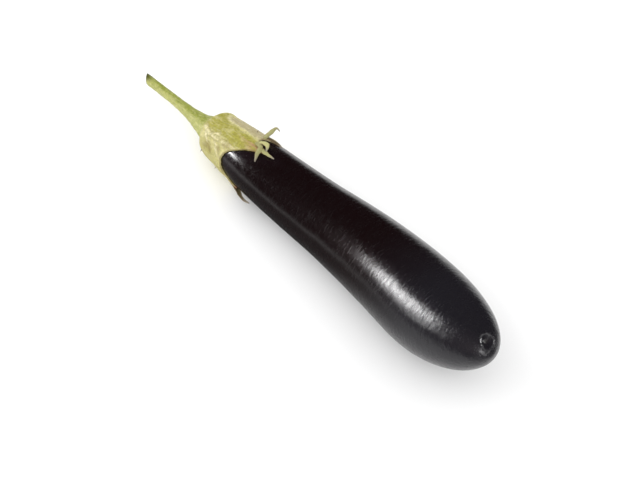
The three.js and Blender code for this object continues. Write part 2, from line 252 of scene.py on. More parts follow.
class EggplantFinish(bpy.types.PropertyGroup):
    """Colours and gloss of the eggplant."""

    skin: colour("Skin", "Dark skin of the middle of the fruit", "#0f0405")
    skin_neck: colour("Skin at the neck", "Purple-brown skin next to the calyx", "#190f13")
    # the lighter bluish tone of the belly and blossom end is a painted sheen
    skin_end_sheen: colour("Skin at the end", "Bluish skin of the belly and blossom end", "#19171c")
    skin_gloss: fraction("Skin roughness", "Roughness of the waxy skin, 0 is a mirror", 0.21)
    scar: colour("Scar", "Corky middle of the blossom scar", "#2c231e")
    # olive on top and yellow-green below are partly the calyx's own colours and partly painted shade on
    # the top and far side; the pale lower side is the side that faces the light
    pad: colour("Pad", "Olive pad on top of the calyx", "#9f993d")
    pad_pale: colour("Pale pad", "Yellow-green calyx where it lay in shade", "#bcb572")
    # grey-olive far side of the calyx, painted shade with a grey sheen; it also marks the stalk's two
    # outline edges as painted shade
    drab: colour("Drab side", "Far side of the calyx", "#b0a478")
    patch: colour("Patch", "Olive-brown patches of the calyx", "#948846")
    # the seams and veins are paler, and their cream colour also paints highlights on the ridges
    seam: colour("Seam", "Seams and veins of the calyx", "#dbd2a4")
    rim: colour("Rim", "Thin dry edge of the calyx", "#7d6344")
    blush: colour("Blush", "Creased pinkish brown where the lobes narrow", "#a67a5a")
    # the stalk's dark green on its upper far side is painted shade, and its pale green is the side that
    # faces the light
    stalk_dark: colour("Dark stalk", "Mottled green of the stalk", "#8a922f")
    stalk_pale: colour("Pale stalk", "Paler side of the stalk", "#adaf63")
    cut_face: colour("Cut face", "Dried rim of the cut end", "#4a4a16")
    pith: colour("Pith", "Spongy middle of the cut end", "#bdb187")
    tip_green: colour("Fresh tip", "Lobe tips that are still green", "#b5b276")
    tip_dry: colour("Dry tip", "Dried lobe tips", "#574c2e")
    tip_end: colour("Tip end", "Withered ends of the lobe tips", "#8f8577")


class EggplantStage(bpy.types.PropertyGroup):
    """Floor, light and camera."""

    floor: colour("Floor", "Plain pale floor", "#f7f7f7")
    key_power: number("Key light", "Power of the soft light from the left", 11.0, min=0.0, unit="POWER")
    room_light: number("Room light", "Strength of the even light of the white room", 1.2, min=0.0)
    azimuth: rotation("Azimuth", "Camera's way round the eggplant, 0 looks along +Y", 43)
    elevation: rotation("Elevation", "Camera's height above the horizon", 55)
    distance: length("Distance", "From the camera to what it looks at", 0.5706, 0.1, 5.0)
    look_at: FloatVectorProperty(
        name="Look at", description="Point that the camera looks at",
        default=(0.03338, -0.00733, 0.02275), subtype="XYZ", unit="LENGTH",
    )
    lens: number("Lens", "Focal length in millimetres", 50.0)


class EggplantDetail(bpy.types.PropertyGroup):
    """How fine the meshes are."""

    fruit_rings: IntProperty(
        name="Fruit rings", description="Faces along the fruit", default=300, min=40, max=400)
    fruit_sides: IntProperty(
        name="Fruit sides", description="Faces round the fruit", default=192, min=24, max=256)
    calyx_sides: IntProperty(
        name="Calyx sides", description="Faces round the calyx", default=300, min=60, max=400)


# ---- The form --------------------------------------------------------------------------------------


def smooth_curve(points, samples):
    """Points at even steps of the parameter on a uniform Catmull-Rom curve."""
    points = np.asarray(points, float)
    last = len(points) - 1
    place = np.linspace(0, last, samples)
    at = np.minimum(place.astype(int), last - 1)
    t = (place - at)[:, None]
    p0, p1 = points[np.maximum(at - 1, 0)], points[at]
    p2, p3 = points[at + 1], points[np.minimum(at + 2, last)]
    v0, v1 = (p2 - p0) / 2, (p3 - p1) / 2
    return (
        (2 * p1 - 2 * p2 + v0 + v1) * t ** 3 + (-3 * p1 + 3 * p2 - 2 * v0 - v1) * t ** 2 + v0 * t + p1
    )


def ramp(value, low, high):
    """0 below low, 1 above high, smooth between."""
    t = np.clip((value - low) / (high - low), 0, 1)
    return t * t * (3 - 2 * t)


def ripple(points, wavelength, seed, waves=20):
    """A smooth random field, mostly between -1 and 1, over points in millimetres."""
    chance = np.random.default_rng(seed)
    ways = chance.normal(size=(waves, 3))
    ways /= np.linalg.norm(ways, axis=1, keepdims=True)
    ways *= FULL_TURN / wavelength * chance.uniform(0.6, 1.5, (waves, 1))
    total = np.zeros(points.shape[:-1])
    for way, shift in zip(ways, chance.uniform(0, FULL_TURN, waves)):
        total += np.sin(points @ way + shift)
    return total / math.sqrt(2 * waves)


def unit(vectors):
    """The vectors with a length of 1."""
    return vectors / np.linalg.norm(vectors, axis=-1, keepdims=True)


class Form:
    """The fruit's skin and the calyx over it as surfaces, in millimetres."""

    def __init__(self, sizes):
        self.sizes = sizes
        self.length = sizes.fruit_length / MM
        belly_at, belly = sizes.belly_at / MM, sizes.belly_radius / MM
        power = sizes.end_bluntness
        end = [
            (belly_at + (self.length - belly_at) * s, belly * (1 - s ** power) ** (1 / power))
            for s in END_STATIONS
        ]
        outline = self.fair(smooth_curve([*NECK_PROFILE, *end], 6000))
        steps = np.diff(outline, axis=0)
        self.way = np.concatenate([[0], np.cumsum(np.linalg.norm(steps, axis=1))])
        self.outline = outline
        heading = unit(np.gradient(outline, self.way, axis=0))
        self.out = np.stack([-heading[:, 1], heading[:, 0]], 1)
        self.skin_arc = self.way[-1]
        self.scar = self.skin(
            np.array(self.skin_arc - sizes.scar_arc / MM), np.array(sizes.scar_angle)
        )
        self.place()

    @staticmethod
    def fair(outline):
        """The outline with its radii evened out over 8 mm either way, except at both ends."""
        x = outline[:, 0]
        evened = outline[:, 1].copy()
        stations = np.arange(0, x[-1], 0.5)
        radii = np.interp(stations, x, outline[:, 1])
        bell = np.exp(-(np.arange(-16, 17) / 6) ** 2)
        soft = np.convolve(np.pad(radii, 16, mode="edge"), bell / bell.sum(), mode="valid")
        share = ramp(x, 24, 50) * (1 - ramp(x, 222, 236))
        evened += share * (np.interp(x, stations, soft) - evened)
        return np.stack([x, evened], 1)

    def place(self):
        """Works out the move from the form to the frame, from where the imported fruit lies."""
        arcs, angles = np.meshgrid(
            np.linspace(0, self.skin_arc, 500), np.linspace(0, FULL_TURN, 240), indexing="ij"
        )
        skin = self.skin(arcs, angles).reshape(-1, 3)
        low, high = (np.array(corner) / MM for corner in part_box("fruit"))
        self.move = (low + high) / 2 - (skin.min(0) + skin.max(0)) / 2
        self.move[2] = -(skin[:, 2].min() + self.sizes.flat_spot_depth / MM)

    def to_frame(self, points):
        """Points of the form in metres in the frame, kept above the surface it lies on."""
        moved = points + self.move
        moved[..., 2] = np.maximum(moved[..., 2], 0)
        return moved * MM

    def profile(self, arc):
        """Place along the axis, radius, and the two parts of the way out of the skin."""
        return [
            np.interp(arc, self.way, column)
            for column in (self.outline[:, 0], self.outline[:, 1], self.out[:, 0], self.out[:, 1])
        ]

    def axis(self, x):
        """Middle of the fruit at x, and the directions sideways and up."""
        s = self.sizes
        u = x / self.length
        bend = np.clip((u - s.side_bend_start) / (1 - s.side_bend_start), 0, 1)
        turn = np.clip((u - s.upturn_start) / (1 - s.upturn_start), 0, 1)
        wave = FULL_TURN * (u - s.wave_crest) / s.wave_length
        bow, side_bend, upturn = s.bow / MM, s.side_bend / MM, s.upturn / MM
        middle = np.stack([
            x,
            bow * 4 * u * (1 - u) - side_bend * bend ** 2,
            (s.axis_height + s.axis_rise * u + s.axis_wave * np.cos(wave)) / MM + upturn * turn ** 2,
        ], -1)
        sideways = bow * 4 * (1 - 2 * u) - side_bend * 2 * bend / (1 - s.side_bend_start)
        upwards = (
            (s.axis_rise - s.axis_wave * FULL_TURN * np.sin(wave) / s.wave_length) / MM
            + upturn * 2 * turn / (1 - s.upturn_start)
        )
        along = unit(np.stack([np.full_like(u, self.length), sideways, upwards], -1))
        side = unit(np.stack([-along[..., 1], along[..., 0], np.zeros_like(u)], -1))
        return middle, side, np.cross(along, side)

    def skin(self, arc, angle, lift=0.0):
        """Points at an arc over the skin, an angle round it in radians and a lift off it."""
        x, radius, out_x, out_radius = self.profile(arc)
        uneven = 1.0
        for share, waves, pitch, shift in UNEVENNESS:
            uneven = uneven + share * np.sin(waves * angle + x / pitch + shift)
        middle, side, up = self.axis(x + lift * out_x)
        reach = radius * uneven + lift * out_radius
        return (
            middle + side * (reach * np.cos(angle))[..., None] + up * (reach * np.sin(angle))[..., None]
        )

    def edge_arc(self, angle):
        """How far the calyx reaches over the skin, in lobes with pointed tips and round notches, and
        how near a tip each angle is, from 0 to 1."""
        degrees = np.degrees(angle) % 360
        arcs = np.zeros_like(degrees)
        tips = np.zeros_like(degrees)
        for i, ((tip, tip_arc), (after, after_arc)) in enumerate(LOBES):
            before, before_arc = LOBES[i - 1][1]
            if before > tip:
                before -= 360
            for turn in (-360, 0, 360):
                here = degrees + turn
                rising = (here >= before) & (here <= tip)
                falling = (here > tip) & (here <= after)
                up = np.clip((here - before) / (tip - before), 0, 1) ** self.sizes.lobe_power
                down = np.clip((after - here) / (after - tip), 0, 1) ** self.sizes.lobe_power
                arcs = np.where(rising, before_arc + (tip_arc - before_arc) * up, arcs)
                arcs = np.where(falling, after_arc + (tip_arc - after_arc) * down, arcs)
                tips = np.where(rising, up, np.where(falling, down, tips))
        return arcs, tips

    def apart(self, arc, angle, line):
        """Distance over the skin from each point to a line of (arc, degrees)."""
        radius = self.profile(arc)[1]
        nearest = np.full(np.broadcast(arc, angle).shape, np.inf)
        for (arc_a, degrees_a), (arc_b, degrees_b) in zip(line, line[1:]):
            turn = angle - math.radians(degrees_a)
            across = np.arctan2(np.sin(turn), np.cos(turn)) * radius
            step_arc, step = arc_b - arc_a, math.radians(degrees_b - degrees_a) * radius
            share = ((arc - arc_a) * step_arc + across * step) / (step_arc ** 2 + step ** 2)
            share = np.clip(share, 0, 1)
            gap = np.hypot(arc - arc_a - share * step_arc, across - share * step)
            nearest = np.minimum(nearest, gap)
        return nearest

    def seams(self, arc, angle):
        """Height of the raised seams in millimetres, and how much of a point is seam."""
        squeezed = np.stack([arc, 20 * np.cos(angle), 20 * np.sin(angle)], -1)
        crumple = ripple(squeezed, 4.5, 41) + 0.7 * ripple(squeezed, 2.2, 43)
        swerve = ripple(squeezed, 9, 42)
        raised = np.zeros(np.broadcast(arc, angle).shape)
        marked = np.zeros_like(raised)
        for height, width, crumpled, line in SEAMS:
            gap = self.apart(arc, angle, line) + 0.5 * width * crumpled * swerve
            crest = np.exp(-(gap / width) ** 2) * (1 + 0.55 * crumpled * crumple)
            dip = np.exp(-((gap - 1.7 * width) / (0.45 * width)) ** 2)
            raised += height * (crest - 0.22 * dip)
            marked = np.maximum(marked, crest * (0.5 + 0.5 * crumpled))
        return raised, marked

    def calyx_thickness(self, arc, angle, edge):
        """Thickness of the calyx with its seams."""
        s = self.sizes
        share = np.clip((arc - SHOULDER_START) / (edge - SHOULDER_START), 0, 1)
        plain = s.calyx_body + (s.calyx_edge - s.calyx_body) * share ** s.calyx_thinning
        fade = ramp(share, 0.0, 0.1) * (1 - 0.6 * ramp(share, 0.85, 1.0))
        thinner = 0.9 * np.exp(-(self.apart(arc, angle, THIN_SIDE) / 7) ** 2)
        return plain / MM + (self.seams(arc, angle)[0] - thinner) * fade


# ---- Meshes ----------------------------------------------------------------------------------------


def deselect_all():
    """Leaves nothing selected, in object mode."""
    if bpy.context.mode != "OBJECT":
        bpy.ops.object.mode_set(mode="OBJECT")
    bpy.ops.object.select_all(action="DESELECT")


def select_only(piece):
    """Leaves the piece selected and active, in object mode."""
    deselect_all()
    piece.select_set(True)
    bpy.context.view_layer.objects.active = piece


def add_sheet(name, points, marks=None):
    """Adds a grid and puts its vertices at points, an array of rows by columns, with the marks as
    attributes. The grid's own UV map says how far round and how far along each corner is."""
    deselect_all()
    rows, columns = points.shape[0] - 1, points.shape[1] - 1
    bpy.ops.mesh.primitive_grid_add(x_subdivisions=columns, y_subdivisions=rows, size=1.0)
    piece = bpy.context.active_object
    piece.name = piece.data.name = name
    flat = np.empty(len(piece.data.vertices) * 3)
    piece.data.vertices.foreach_get("co", flat)
    share = flat.reshape(-1, 3) + 0.5
    row = np.rint(share[:, 1] * rows).astype(int)
    column = np.rint(share[:, 0] * columns).astype(int)
    piece.data.vertices.foreach_set("co", points[row, column].ravel())
    for mark, values in (marks or {}).items():
        kind, field = ("FLOAT_VECTOR", "vector") if values.ndim == 3 else ("FLOAT", "value")
        attribute = piece.data.attributes.new(mark, kind, "POINT")
        attribute.data.foreach_set(field, values[row, column].astype(np.float32).ravel())
    piece.data.update()
    return piece


def close_up(piece, gap=1e-7):
    """Merges the doubles along seams and poles, turns the faces outwards and shades smooth."""
    select_only(piece)
    bpy.ops.object.mode_set(mode="EDIT")
    bpy.ops.mesh.select_all(action="SELECT")
    bpy.ops.mesh.remove_doubles(threshold=gap)
    bpy.ops.mesh.normals_make_consistent(inside=False)
    bpy.ops.object.mode_set(mode="OBJECT")
    bpy.ops.object.shade_smooth()


def apply_modifier(piece, kind, **settings):
    """Adds a modifier to the piece and applies it."""
    select_only(piece)
    modifier = piece.modifiers.new(kind.title(), kind)
    for name, value in settings.items():
        setattr(modifier, name, value)
    bpy.ops.object.modifier_apply(modifier=modifier.name)


def finish_piece(piece, material):
    """Gives the piece its material and slot, and lets it ride with the eggplant."""
    piece.data.materials.clear()
    piece.data.materials.append(material)
    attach(piece, "root")


# ---- Materials -------------------------------------------------------------------------------------


def add_node(tree, kind, output, inputs=None, **settings):
    """Adds a node with its settings, gives its inputs values or links, and returns that output."""
    made = tree.nodes.new("ShaderNode" + kind)
    for name, value in settings.items():
        setattr(made, name, value)
    for name, value in (inputs or {}).items():
        if isinstance(value, bpy.types.NodeSocket):
            tree.links.new(value, made.inputs[name])
        elif isinstance(made.inputs[name].default_value, (float, int)):
            made.inputs[name].default_value = value
        else:
            wanted = len(made.inputs[name].default_value)
            made.inputs[name].default_value = [*value, 1.0][:wanted]
    return None if output is None else made.outputs[output]


def new_material(name):
    """An empty node material, its tree and its output."""
    material = bpy.data.materials.new(name)
    material.use_nodes = True
    material.node_tree.nodes.clear()
    output = material.node_tree.nodes.new("ShaderNodeOutputMaterial")
    return material, material.node_tree, output


def waxy_skin(finish):
    """Eggplant skin: a thin hard cuticle over dark purple cells, grown and never worked. It looks
    nearly black and glossy, and fine wrinkles round the fruit break up its highlights."""
    material, tree, output = new_material("eggplant_skin_waxy_cuticle")
    around = add_node(tree, "Attribute", "Vector", attribute_name="around")
    neck, scar = (add_node(tree, "Attribute", "Fac", attribute_name=m) for m in ("neck", "scar"))
    place = add_node(tree, "TexCoord", "Object")
    # wrinkles 1.5 mm apart and about 4 mm long round the fruit
    stretched = add_node(tree, "Mapping", "Vector", {"Vector": around, "Scale": (640, 250, 250)})
    wrinkles = add_node(
        tree, "TexNoise", "Fac", {"Vector": stretched, "Scale": 1.0, "Detail": 4.0, "Roughness": 0.6}
    )
    # soft dents about 8 mm across
    dents = add_node(tree, "TexNoise", "Fac", {"Vector": place, "Scale": 125.0, "Detail": 1.0})
    # pores 0.8 mm apart, drawn coarser than the real ones so that they show
    pores = add_node(tree, "TexNoise", "Fac", {"Vector": place, "Scale": 1250.0, "Detail": 2.0})
    # cork grains 1 mm across
    cork = add_node(
        tree, "TexNoise", "Fac", {"Vector": place, "Scale": 900.0, "Detail": 4.0, "Roughness": 0.7}
    )
    # blotches 17 mm across
    blotches = add_node(tree, "TexNoise", "Fac", {"Vector": place, "Scale": 60.0, "Detail": 3.0})
    neck_share = add_node(tree, "Math", "Value", {0: neck, 1: blotches}, operation="MULTIPLY")
    neck_share = add_node(
        tree, "Math", "Value", {0: neck_share, 1: 1.7}, operation="MULTIPLY", use_clamp=True
    )
    along = add_node(tree, "SeparateXYZ", "X", {"Vector": around})
    # the belly and blossom end are mixed towards a lighter bluish skin, a painted sheen
    end_sheen_share = add_node(
        tree, "MapRange", "Result",
        {"Value": along, "From Min": 0.165, "From Max": 0.24}, interpolation_type="SMOOTHSTEP",
    )
    corky = add_node(tree, "MapRange", "Result", {"Value": scar, "From Min": 0.66, "From Max": 0.95})
    corky = add_node(tree, "Math", "Value", {0: corky, 1: cork}, operation="MULTIPLY")
    base = finish.skin
    for share, tint in (
        (end_sheen_share, finish.skin_end_sheen), (neck_share, finish.skin_neck), (corky, finish.scar)
    ):
        base = add_node(tree, "Mix", 2, {"Factor": share, 6: base, 7: tint}, data_type="RGBA")
    roughness = add_node(
        tree, "MapRange", "Result",
        {"Value": wrinkles, "From Min": 0.3, "From Max": 0.7, "To Min": finish.skin_gloss - 0.05,
         "To Max": finish.skin_gloss + 0.1},
    )
    roughness = add_node(
        tree, "Math", "Value", {0: corky, 1: 0.6, 2: roughness}, operation="MULTIPLY_ADD"
    )
    soft = add_node(tree, "Bump", "Normal", {"Strength": 1.0, "Distance": 0.00012, "Height": dents})
    on_belly = add_node(
        tree, "MapRange", "Result",
        {"Value": along, "From Min": 0.14, "From Max": 0.2, "To Min": 0.25, "To Max": 1.0},
        interpolation_type="SMOOTHSTEP",
    )
    # the skin is drawn tight round the scar
    tight = add_node(
        tree, "MapRange", "Result",
        {"Value": scar, "From Min": 0.0, "From Max": 0.3, "To Min": 1.0, "To Max": 0.1},
    )
    on_belly = add_node(tree, "Math", "Value", {0: on_belly, 1: tight}, operation="MULTIPLY")
    creased = add_node(
        tree, "Bump", "Normal",
        {"Strength": on_belly, "Distance": 0.00024, "Height": wrinkles, "Normal": soft},
    )
    pored = add_node(
        tree, "Bump", "Normal",
        {"Strength": 0.6, "Distance": 0.00002, "Height": pores, "Normal": creased},
    )
    shader = add_node(
        tree, "BsdfPrincipled", "BSDF",
        {"Base Color": base, "Roughness": roughness, "IOR": 1.42, "Normal": pored},
    )
    tree.links.new(shader, output.inputs["Surface"])
    return material


def green_calyx(finish):
    """Calyx and stalk: fleshy green tissue with fibres from stalk to tip and dull skin. The pads
    are olive, the seams and fibres paler, and the thin edge has dried to brown. Painted shade
    darkens the top and far side, the stalk's edges and the feet of the seams, and the seams
    carry a painted highlight."""
    material, tree, output = new_material("eggplant_calyx_and_stalk_flesh")
    reach, seam, rim, tip, olive, drab, patch, crease, cut = (
        add_node(tree, "Attribute", "Fac", attribute_name=mark)
        for mark in ("reach", "seam", "rim", "tip", "olive", "drab", "patch", "crease", "cut")
    )
    fibres = add_node(tree, "Attribute", "Vector", attribute_name="fibres")
    place = add_node(tree, "TexCoord", "Object")
    # fibres 6 mm long, 0.4 mm apart on the stalk and 2 mm apart on the calyx
    threads = add_node(
        tree, "TexNoise", "Fac", {"Vector": fibres, "Scale": 1100.0, "Detail": 3.0, "Roughness": 0.6}
    )
    # mottling 4 mm across
    mottle = add_node(
        tree, "TexNoise", "Fac", {"Vector": place, "Scale": 250.0, "Detail": 4.0, "Roughness": 0.65}
    )
    # pits 0.8 mm apart
    pits = add_node(tree, "TexVoronoi", "Distance", {"Vector": place, "Scale": 1200.0})
    # flecks 1.5 mm across
    flecks = add_node(
        tree, "TexNoise", "Fac", {"Vector": place, "Scale": 650.0, "Detail": 4.0, "Roughness": 0.7}
    )
    # the olive mark is partly the calyx's own olive and partly painted shade on the top and far side of
    # the calyx and the upper side of the stalk
    olive_edge = add_node(tree, "Math", "Value", {0: mottle, 1: 2.4, 2: -1.2}, operation="MULTIPLY_ADD")
    olive_and_shade_share = add_node(
        tree, "Math", "Value", {0: olive, 1: olive_edge}, operation="ADD", use_clamp=True
    )
    # olive-brown patches, and painted shade at the feet of the seams
    patch_and_crease_shade = add_node(
        tree, "Math", "Value", {0: crease, 1: 0.6, 2: patch}, operation="MULTIPLY_ADD", use_clamp=True
    )
    pad, stalk = finish.pad_pale, finish.stalk_pale
    # painted shade darkens the pad: olive on the top and far side, grey-olive on the far side, patch
    # colour at the feet of the seams
    for share, tint in ((olive_and_shade_share, finish.pad), (drab, finish.drab), (patch_and_crease_shade, finish.patch)):
        pad = add_node(tree, "Mix", 2, {"Factor": share, 6: pad, 7: tint}, data_type="RGBA")
    for share, tint in ((olive_and_shade_share, finish.stalk_dark), (drab, finish.drab)):
        stalk = add_node(tree, "Mix", 2, {"Factor": share, 6: stalk, 7: tint}, data_type="RGBA")
    on_calyx = add_node(
        tree, "MapRange", "Result",
        {"Value": reach, "From Min": 0.85, "From Max": 1.12}, interpolation_type="SMOOTHSTEP",
    )
    veins = add_node(
        tree, "MapRange", "Result",
        {"Value": threads, "From Min": 0.48, "From Max": 0.68, "To Max": 0.4},
    )
    # pale seams and veins, with a painted highlight in their cream colour
    seams = add_node(
        tree, "Math", "Value", {0: seam, 1: 0.7, 2: veins}, operation="MULTIPLY_ADD", use_clamp=True
    )
    tip_streaks = add_node(
        tree, "MapRange", "Result",
        {"Value": threads, "From Min": 0.42, "From Max": 0.6, "To Min": 0.15},
    )
    blushed = add_node(
        tree, "Math", "Value", {0: tip, 1: tip_streaks}, operation="MULTIPLY", use_clamp=True
    )
    dry_edge = add_node(tree, "Math", "Value", {0: rim, 1: mottle}, operation="MULTIPLY")
    dry_edge = add_node(
        tree, "Math", "Value", {0: dry_edge, 1: 1.4}, operation="MULTIPLY", use_clamp=True
    )
    body = stalk
    for share, tint in (
        (on_calyx, pad), (seams, finish.seam), (blushed, finish.blush), (dry_edge, finish.rim)
    ):
        body = add_node(tree, "Mix", 2, {"Factor": share, 6: body, 7: tint}, data_type="RGBA")
    shade = add_node(
        tree, "MapRange", "Result",
        {"Value": flecks, "From Min": 0.3, "From Max": 0.7, "To Min": 0.72, "To Max": 1.2},
    )
    flecked = add_node(tree, "VectorMath", "Vector", {0: body, "Scale": shade}, operation="SCALE")
    pith_share = add_node(tree, "MapRange", "Result", {"Value": cut, "From Min": 1.3, "From Max": 1.6})
    cut_colour = add_node(
        tree, "Mix", 2, {"Factor": pith_share, 6: finish.cut_face, 7: finish.pith}, data_type="RGBA"
    )
    cut_share = add_node(tree, "Math", "Value", {0: cut, 1: 1.0}, operation="MINIMUM")
    base = add_node(tree, "Mix", 2, {"Factor": cut_share, 6: flecked, 7: cut_colour}, data_type="RGBA")
    fibred = add_node(tree, "Bump", "Normal", {"Strength": 1.0, "Distance": 0.0003, "Height": threads})
    lumpy = add_node(
        tree, "Bump", "Normal",
        {"Strength": 1.0, "Distance": 0.0004, "Height": flecks, "Normal": fibred},
    )
    pitted = add_node(
        tree, "Bump", "Normal", {"Strength": 0.6, "Distance": 0.00018, "Height": pits, "Normal": lumpy}
    )
    shader = add_node(
        tree, "BsdfPrincipled", "BSDF",
        {"Base Color": base, "Roughness": 0.5, "IOR": 1.42, "Normal": pitted,
         "Subsurface Weight": 0.08, "Subsurface Radius": (0.0012, 0.001, 0.0004),
         "Subsurface Scale": 1.0},
    )
    tree.links.new(shader, output.inputs["Surface"])
    return material


def dried_tissue(finish):
    """Lobe tips and prickles: thin calyx tissue that has dried in the air. It is fibrous and dull,
    green at the root and brown to grey at the withered end."""
    material, tree, output = new_material("eggplant_dried_calyx_tissue")
    dry = add_node(tree, "Attribute", "Fac", attribute_name="dry")
    uv = add_node(tree, "TexCoord", "UV")
    place = add_node(tree, "TexCoord", "Object")
    across, along = (add_node(tree, "SeparateXYZ", axis, {"Vector": uv}) for axis in "XY")
    # fibres a tenth of the blade apart
    stretched = add_node(tree, "Mapping", "Vector", {"Vector": uv, "Scale": (10, 1.5, 1)})
    threads = add_node(tree, "TexNoise", "Fac", {"Vector": stretched, "Scale": 1.0, "Detail": 3.0})
    # blotches 2 mm across
    blotches = add_node(tree, "TexNoise", "Fac", {"Vector": place, "Scale": 500.0, "Detail": 3.0})
    dryness = add_node(tree, "Math", "Value", {0: blotches, 1: 0.6, 2: -0.3}, operation="MULTIPLY_ADD")
    dryness = add_node(tree, "Math", "Value", {0: dryness, 1: dry}, operation="ADD", use_clamp=True)
    body = add_node(
        tree, "Mix", 2, {"Factor": dryness, 6: finish.tip_green, 7: finish.tip_dry}, data_type="RGBA"
    )
    off_middle = add_node(tree, "Math", "Value", {0: across, 1: 0.5}, operation="SUBTRACT")
    off_middle = add_node(tree, "Math", "Value", {0: off_middle}, operation="ABSOLUTE")
    edge = add_node(
        tree, "MapRange", "Result",
        {"Value": off_middle, "From Min": 0.34, "From Max": 0.5, "To Max": 0.8},
    )
    edged = add_node(tree, "Mix", 2, {"Factor": edge, 6: body, 7: finish.rim}, data_type="RGBA")
    end = add_node(tree, "MapRange", "Result", {"Value": along, "From Min": 0.68, "From Max": 0.96})
    ended = add_node(tree, "Mix", 2, {"Factor": end, 6: edged, 7: finish.tip_end}, data_type="RGBA")
    bumped = add_node(tree, "Bump", "Normal", {"Strength": 1.0, "Distance": 0.0002, "Height": threads})
    shader = add_node(
        tree, "BsdfPrincipled", "BSDF",
        {"Base Color": ended, "Roughness": 0.62, "IOR": 1.42, "Normal": bumped},
    )
    tree.links.new(shader, output.inputs["Surface"])
    return material


def studio_floor(stage):
    """Matt white paper sweep: dull and even, with a barely visible tooth."""
    material, tree, output = new_material("matt_white_paper")
    place = add_node(tree, "TexCoord", "Object")
    tooth = add_node(tree, "TexNoise", "Fac", {"Vector": place, "Scale": 900.0, "Detail": 2.0})
    bumped = add_node(tree, "Bump", "Normal", {"Strength": 0.3, "Distance": 0.00005, "Height": tooth})
    # gloss mirrors it darker than it is, most of all behind the fruit, beside its neck and far off
    across = add_node(tree, "SeparateXYZ", "Y", {"Vector": place})
    apart = add_node(tree, "VectorMath", "Value", {0: place, 1: BESIDE_NECK}, operation="DISTANCE")
    share = 1.0
    for measure, start, end, at_start, at_end in (
        (across, 0.14, 0.36, 1.0, 0.12), (apart, 0.05, 0.15, 0.15, 1.0), (apart, 0.21, 0.34, 1.0, 0.15)
    ):
        left = add_node(
            tree, "MapRange", "Result",
            {"Value": measure, "From Min": start, "From Max": end, "To Min": at_start, "To Max": at_end},
            interpolation_type="SMOOTHSTEP",
        )
        share = add_node(tree, "Math", "Value", {0: share, 1: left}, operation="MULTIPLY")
    glossy = add_node(tree, "LightPath", "Is Glossy Ray")
    share = add_node(tree, "Mix", 0, {"Factor": glossy, 2: 1.0, 3: share})
    base = add_node(
        tree, "Mix", 2, {"Factor": share, 6: (0.0, 0.0, 0.0), 7: stage.floor}, data_type="RGBA"
    )
    shader = add_node(
        tree, "BsdfPrincipled", "BSDF",
        {"Base Color": base, "Roughness": 0.8, "Specular IOR Level": 0.0, "Normal": bumped},
    )
    tree.links.new(shader, output.inputs["Surface"])
    return material


# ---- Pieces ----------------------------------------------------------------------------------------


class EGGPLANT_OT_fruit(bpy.types.Operator):
    """Builds the fruit: neck, belly, blossom end with its sunk scar, and flat spot"""

    bl_idname = "eggplant.fruit"
    bl_label = "Build Fruit"

    def execute(self, context):
        scene = context.scene
        form, detail = Form(scene.eggplant_form), scene.eggplant_detail
        # the rings crowd towards both ends
        share = np.linspace(0, 1, detail.fruit_rings + 1)
        crowded = (1 - np.cos(np.pi * share)) / 2
        arc = form.skin_arc * (share + (crowded - share) * 0.6)
        arc, angle = np.meshgrid(
            arc, np.linspace(0, FULL_TURN, detail.fruit_sides + 1), indexing="ij"
        )
        angle = angle.copy()
        angle[:, -1] = 0.0
        plain = form.skin(arc, angle)
        ends = ramp(arc, 0, 6) * ramp(form.skin_arc - arc, 0, 6)
        dents = 0.03 * ripple(plain, 22, 3) + 0.012 * ripple(plain, 8, 4)
        apart = np.linalg.norm(plain - form.scar, axis=-1)
        radius, depth = scene.eggplant_form.scar_radius / MM, scene.eggplant_form.scar_depth / MM
        near = np.clip(1 - apart * (1 + 0.09 * ripple(plain, 7, 6)) / radius, 0, 1)
        sunk = depth * near * near * (3 - 2 * near)
        cork = 0.14 * np.exp(-(apart / 1.1) ** 2) * (1 + 0.5 * ripple(plain, 1.6, 5))
        points = form.skin(arc, angle, dents * ends - SKIN_INSET - sunk + cork)
        points[0], points[-1] = points[0].mean(0), points[-1].mean(0)
        edge, _ = form.edge_arc(angle)
        marks = {
            "around": MM * np.stack(
                [arc, WRAP_RADIUS * np.cos(angle), WRAP_RADIUS * np.sin(angle)], -1
            ),
            "neck": 1 - ramp(arc - edge, 0, 26),
            "scar": near,
        }
        piece = add_sheet("fruit_skin", form.to_frame(points), marks)
        close_up(piece)
        finish_piece(piece, waxy_skin(scene.eggplant_finish))
        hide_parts("fruit")
        return {"FINISHED"}


def stalk_line():
    """Middle and radius of the stalk at each row, and the directions sideways and up."""
    middle = smooth_curve(STALK_PATH, STALK_ROWS)
    radius = smooth_curve([[r] for r in STALK_RADII], STALK_ROWS)[:, 0]
    along = unit(np.gradient(middle, axis=0))
    side = unit(np.stack([-along[:, 1], along[:, 0], np.zeros(STALK_ROWS)], -1))
    return middle, radius, side, np.cross(along, side)


